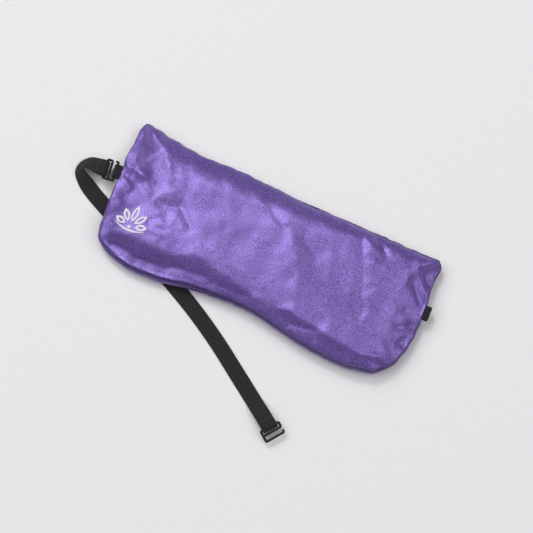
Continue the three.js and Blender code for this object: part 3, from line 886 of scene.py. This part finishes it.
def filled_shift(front, back, edge):
    """How far the front panel's cloth moves as the pillow fills, from a cloth simulation.

    It runs on every second point of the panels. The seam and the back panel are held, the cloth is
    cut a little too large, and the pressure of the filling pushes it up into soft puckers.
    """
    columns, rows = PANEL_COLUMNS // 2 + 1, PANEL_ROWS // 2 + 1

    def every_second(points):
        return points.reshape(PANEL_COLUMNS, PANEL_ROWS, -1)[::2, ::2].reshape(columns * rows, -1)

    top, bottom, seam = every_second(front), every_second(back), every_second(edge).ravel()
    count = len(top)
    partner = np.arange(count)
    partner[~seam] = count + np.arange(np.count_nonzero(~seam))
    faces = grid_faces(columns, rows)
    faces += [tuple(int(partner[i]) for i in face) for face in grid_faces(columns, rows, True)]
    bag = add_mesh("filled_bag", np.vstack([top, bottom[~seam]]), faces, satin)
    held = bag.vertex_groups.new(name="held")
    held.add([int(i) for i in np.flatnonzero(seam)], 1.0, "REPLACE")
    held.add(list(range(count, len(bag.data.vertices))), 1.0, "REPLACE")
    cloth = bag.modifiers.new("cloth", "CLOTH")
    cloth.settings.quality = 6
    cloth.settings.tension_stiffness = cloth.settings.compression_stiffness = 15
    cloth.settings.bending_stiffness = CLOTH_BENDING
    cloth.settings.shrink_min = CLOTH_SHRINK
    cloth.settings.use_pressure = True
    cloth.settings.uniform_pressure_force = CLOTH_PRESSURE
    cloth.settings.vertex_group_mass = "held"
    cloth.settings.effector_weights.gravity = 0
    cloth.collision_settings.use_collision = False
    cloth.point_cache.frame_start, cloth.point_cache.frame_end = 1, CLOTH_FRAMES
    for frame_number in range(1, CLOTH_FRAMES + 1):
        bpy.context.scene.frame_set(frame_number)
    bake_modifiers(bag)
    moved = np.array([v.co for v in bag.data.vertices])[:count] - top
    bpy.data.objects.remove(bag)
    bpy.context.scene.frame_set(1)
    size = np.linalg.norm(moved, axis=1, keepdims=True)
    moved *= CLOTH_SHARE * np.minimum(1, CLOTH_LIMIT / np.maximum(size, 1e-9))
    return between_points(moved.reshape(columns, rows, 3)).reshape(-1, 3)


def eased(depth, distance):
    """0 at the seam, and 1 from the given distance on."""
    return np.clip(depth / distance, 0, 1)


def gathers(values, rise, size, seed, reach, full):
    """Small folds that run in from the seam and die away."""
    depth = values["depth"]
    noises = [noise.noise((p / size, d / 0.05, seed)) for p, d in zip(values["place"], depth)]
    return rise * 1.6 * np.array(noises) * np.exp(-depth / reach) * eased(depth, full)


def front_height(flat, values):
    """The front panel's height over each point of the plan."""
    seam, depth = values["height"], values["depth"]
    full = round_over(depth, values["reach"])
    swell = sum(rise * wander(flat, size, seed) for rise, size, seed in SWELLS)
    height = seam + (CROWN - seam) * full
    height += (swell + STRAP_LIFTS[0] * strap_ridge(flat, 0.004, 0.012)) * full
    height += sum(gathers(values, *row) for row in FRONT_GATHERS) + folds(flat) * eased(depth, 0.003)
    ends = np.clip((np.abs(flat[:, 0] - 0.004) - 0.055) / 0.05, 0, 1)
    height += (0.0001 + 0.0008 * ends) * crumple(flat, 0.013, 4.4) * eased(depth, 0.004)
    return height + TAPE_LIFT * tucked_tape(flat) * eased(depth, 0.0008)


def back_height(flat, values):
    """The back panel's height: down from the seam to the floor, and up over the strap."""
    slope = 1 - round_over(values["depth"], BELLY_REACH)
    ridge = STRAP_LIFTS[1] * strap_ridge(flat, 0.0066, 0.009)
    return np.maximum((values["height"] + gathers(values, *BACK_GATHERS)) * slope, ridge)


def cover_grid():
    """The front and back panels' points, on the same grid, and how far each lies from the seam."""
    sides, whole = rim_sides(0)
    plan = patch(sides, PANEL_COLUMNS, PANEL_ROWS)
    flat = plan.reshape(-1, 2)
    values = Rim(whole, 3200).read(flat)
    edge = np.zeros(plan.shape[:2], bool)
    edge[[0, -1], :] = edge[:, [0, -1]] = True
    edge = edge.ravel()
    depth = values["depth"] = np.where(edge, 0, values["depth"])
    shelf = bump(depth, 0.0014, 0.006) * 0.0015
    belly = bump(depth, 0.0025, 0.0095) * (values["bulge"] + 0.0025)
    outward = values["outward"]
    front = np.column_stack([flat + shelf[:, None] * outward, front_height(flat, values)])
    back = np.column_stack([flat + belly[:, None] * outward, back_height(flat, values)])
    front[edge] = back[edge] = np.column_stack([flat, values["height"]])[edge]
    front += filled_shift(front, back, edge)
    return front, back, depth


def add_panel(name, points, flip, depth, shade_width):
    """One panel; a point attribute gives its finish the painted shade of the seam's groove, from how
    deep in the groove each point lies.
    """
    panel = add_mesh(name, points, grid_faces(PANEL_COLUMNS, PANEL_ROWS, flip), satin)
    # Painted shade for the seam's groove: strongest at the seam, gone at the given width.
    painted_groove_shade = GROOVE_PAINTED_SHADE * np.clip(1 - depth / shade_width, 0, 1) ** 0.7
    layer = panel.data.attributes.new("painted_groove_shade", "FLOAT", "POINT")
    layer.data.foreach_set("value", painted_groove_shade.astype(np.float32))
    subdivide(panel)
    return panel


def add_cover():
    front, back, depth = cover_grid()
    front_panel = add_panel("cover_front", front, False, depth, GROOVE_PAINTED_SHADE_WIDTHS[0])
    back_panel = add_panel("cover_back", back, True, depth, GROOVE_PAINTED_SHADE_WIDTHS[1])
    return front_panel, back_panel


def surface_of(piece):
    points = [v.co.copy() for v in piece.data.vertices]
    return BVHTree.FromPolygons(points, [tuple(p.vertices) for p in piece.data.polygons])


def height_at(surface, x, y, start=0.05, down=-1):
    hit = surface.ray_cast(Vector((x, y, start)), Vector((0, 0, down)))[0]
    return None if hit is None else hit.z


# ---- Embroidery ----


def quadratic(start, control, end, t):
    start, control, end = (np.asarray(p, float) for p in (start, control, end))
    t = np.asarray(t)[:, None]
    return (1 - t) ** 2 * start + 2 * t * (1 - t) * control + t**2 * end


def satin_stitches(surface, starts, ends, seed):
    """Strands laid side by side from each start to its end, arched over the cloth."""
    random = np.random.default_rng(seed)
    strands = []
    for start, end in zip(starts, ends):
        jitter = random.normal(0, 0.00006, (2, 2))
        a, b = start + jitter[0], end + jitter[1]
        t = np.linspace(0, 1, 6)
        line = a + (b - a) * t[:, None]
        arch = STITCH_ARCH * np.sqrt(np.clip(1 - (2 * t - 1) ** 2, 0, 1)) + 0.00002
        heights = [height_at(surface, x, y) for x, y in line]
        if None in heights:
            continue
        points = np.column_stack([line, np.array(heights) + arch])
        strands.append(tube(points, STITCH_RADIUS, sides=5, ends=(0.6,)))
    return strands


def turned(points, bearing):
    c, s = math.cos(math.radians(bearing)), math.sin(math.radians(bearing))
    return points @ np.array([[c, s], [-s, c]]) + np.array(MOTIF)


def petal_strands(surface, bearing, reach, seed):
    """A pointed oval's outline, sewn across its stroke, up one side and down the other."""
    strands = []
    t = np.linspace(0.01, 0.99, round((reach - PETAL_ROOT) / 0.00026))
    start, end = PETAL_ROOT + 0.0022, reach - 0.0026
    inner_width = PETAL_WIDTH - 2 * PETAL_STROKE
    for side in (1, -1):
        outer = quadratic(
            (PETAL_ROOT, 0), ((PETAL_ROOT + reach) / 2, side * PETAL_WIDTH), (reach, 0), t)
        inner = quadratic((start, 0), ((start + end) / 2, side * inner_width), (end, 0), t)
        outer, inner = turned(outer, bearing), turned(inner, bearing)
        strands += satin_stitches(surface, outer, inner, seed + side + 1)
    return strands


def ripple_strands(surface):
    """The curve of water under the flower, thickest in the middle."""
    t = np.linspace(0.015, 0.985, 96)
    low = quadratic((-0.012, 0.0006), (0, -0.0074), (0.012, 0.0006), t)
    high = quadratic((-0.012, 0.0006), (0, -0.0038), (0.012, 0.0006), t)
    return satin_stitches(surface, turned(low, 0), turned(high, 0), 71)


def seed_strands(surface):
    """A round dot of upright stitches."""
    across = np.linspace(-0.00122, 0.00122, 11)
    half = np.sqrt(0.0013**2 - across**2)
    low = np.column_stack([across, -half])
    high = np.column_stack([across, half])
    return satin_stitches(surface, turned(low, 0), turned(high, 0), 83)


def add_embroidery(surface):
    pieces = {name: petal_strands(surface, *PETALS[name], 10 * i) for i, name in enumerate(PETALS)}
    pieces["lotus_ripple"] = ripple_strands(surface)
    pieces["lotus_seed"] = seed_strands(surface)
    for name, strands in pieces.items():
        piece = add_threads(name + "_stitches", strands, embroidery_thread)
        finish_piece(piece, "pillow", "embroidery_thread", name)


# ---- What the cover holds ----


def inner_space(front, back, flat, drop, lift):
    """The highest and lowest that an inner layer may reach at each point of the plan."""
    ceiling = np.array([height_at(front, x, y) for x, y in flat]) - drop
    ground = np.array([height_at(back, x, y, -0.05, 1) for x, y in flat]) + lift
    return ceiling, ground


def inner_layer(front, back, inset, drop, lift, columns, rows):
    """A closed layer inside the cover: its top and its bottom on one grid."""
    sides, whole = rim_sides(inset)
    rim = Rim(whole, 1200)
    flat = patch(sides, columns, rows).reshape(-1, 2)
    depth = rim.read(flat)["depth"]
    edge = np.zeros((columns, rows), bool)
    edge[[0, -1], :] = edge[:, [0, -1]] = True
    depth = np.where(edge.ravel(), 0, depth)
    full = round_over(depth, 0.009)
    ceiling, ground = inner_space(front, back, flat, drop, lift)
    middle = (ceiling + ground) / 2
    top = np.column_stack([flat, middle + (ceiling - middle) * full])
    bottom = np.column_stack([flat, middle + (ground - middle) * full])
    return top, bottom


def add_pouch(front, back):
    columns, rows = 70, 32
    top, bottom = inner_layer(front, back, 0.0050, *POUCH_GAPS, columns, rows)
    for name, points, flip in (("pouch_front", top, False), ("pouch_back", bottom, True)):
        panel = add_mesh(name + "_cloth", points, grid_faces(columns, rows, flip), muslin)
        subdivide(panel)
        thicken(panel, 0.0003)
        finish_piece(panel, "pillow", "muslin", name)


def add_fill(front, back):
    columns, rows = 90, 40
    top, bottom = inner_layer(front, back, 0.0062, *FILL_GAPS, columns, rows)
    count = len(top)
    faces = grid_faces(columns, rows)
    faces += [tuple(i + count for i in face) for face in grid_faces(columns, rows, True)]
    fill = add_mesh("flaxseed_heap", np.vstack([top, bottom]), faces, flaxseed)
    weld = fill.modifiers.new("weld", "WELD")
    weld.merge_threshold = 0.00001
    bake_modifiers(fill)
    subdivide(fill)
    finish_piece(fill, "pillow", "flaxseed", "flaxseed_fill")


def add_backing(front):
    columns, rows = 34, 28
    x = np.linspace(-0.016, 0.016, columns) + MOTIF[0]
    y = np.linspace(-0.007, 0.020, rows) + MOTIF[1]
    points = [(a, b, height_at(front, a, b) - 0.0006) for a in x for b in y]
    backing = add_mesh("embroidery_backing_sheet", points, grid_faces(columns, rows), stabiliser)
    thicken(backing, 0.00025)
    finish_piece(backing, "pillow", "stabiliser", "embroidery_backing")


def stitch_row(rim, length, gap, radius):
    """Short stitches end to end along a rim."""
    strands = []
    line = np.column_stack([rim.points, rim.height])
    count = round(rim.length / (length + gap))
    for i in range(count):
        places = (i * rim.length / count + np.linspace(0, length, 4)) % rim.length
        strands.append(tube(resample(line, rim.place, places), radius, sides=5))
    return strands


def add_cover_thread():
    rim = Rim(rim_sides(0.0004)[1], 2400)
    thread = add_threads("cover_stitches", stitch_row(rim, 0.0021, 0.0004, 0.00016), seam_thread)
    finish_piece(thread, "pillow", "seam_thread", "cover_seam_thread")


def add_pouch_thread(front, back):
    rim = Rim(rim_sides(0.0052)[1], 1600)
    ceiling, ground = inner_space(front, back, rim.points, *POUCH_GAPS)
    rim.height = (ceiling + ground) / 2
    thread = add_threads("pouch_stitches", stitch_row(rim, 0.0024, 0.0005, 0.00014), pouch_thread)
    finish_piece(thread, "pillow", "pouch_thread", "pouch_seam_thread")


def add_end_tack(name, strap, hook, body):
    """A zigzag tack through the strap's two layers."""
    surface = surface_of(strap)
    half = STRAP_WIDTH / 2 - 0.0012
    out, across = heading(hook["bearing"])[:2], heading(hook["bearing"] + 90)[:2]
    middle = np.array([hook["x"], hook["y"]]) - out * 0.0058
    corners = [
        middle + out * (-1) ** k * 0.0007 + across * (-half + 2 * half * k / TACK_TURNS)
        for k in range(TACK_TURNS + 1)
    ]
    strands = []
    for start, end in zip(corners, corners[1:]):
        line = start + (end - start) * np.linspace(0, 1, 5)[:, None]
        heights = np.array([height_at(surface, x, y) or hook["z"] for x, y in line])
        strands.append(tube(np.column_stack([line, heights + 0.00008]), 0.00017, sides=5))
    tack = add_threads(name + "_tack", strands, strap_thread)
    return finish_piece(tack, body, "strap_thread", name)


# ---- Assembly ----

add_camera()
add_studio()

strap, strap_path = add_strap()
left_hook = add_hook("left_hook", **LEFT_HOOK)
free_hook = add_hook("free_hook", **FREE_HOOK)
left_tack = add_end_tack("left_end_stitching", strap, LEFT_HOOK, "strap")
free_tack = add_end_tack("free_end_stitching", strap, FREE_HOOK, "strap_end")
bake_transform(strap)

front_panel, back_panel = add_cover()
front_surface, back_surface = surface_of(front_panel), surface_of(back_panel)
add_embroidery(front_surface)
add_backing(front_surface)
add_pouch(front_surface, back_surface)
add_fill(front_surface, back_surface)
add_cover_thread()
add_pouch_thread(front_surface, back_surface)
add_loops()
for panel, node in ((front_panel, "front_panel"), (back_panel, "back_panel")):
    thicken(panel, SATIN)
    finish_piece(panel, "pillow", "satin", node)
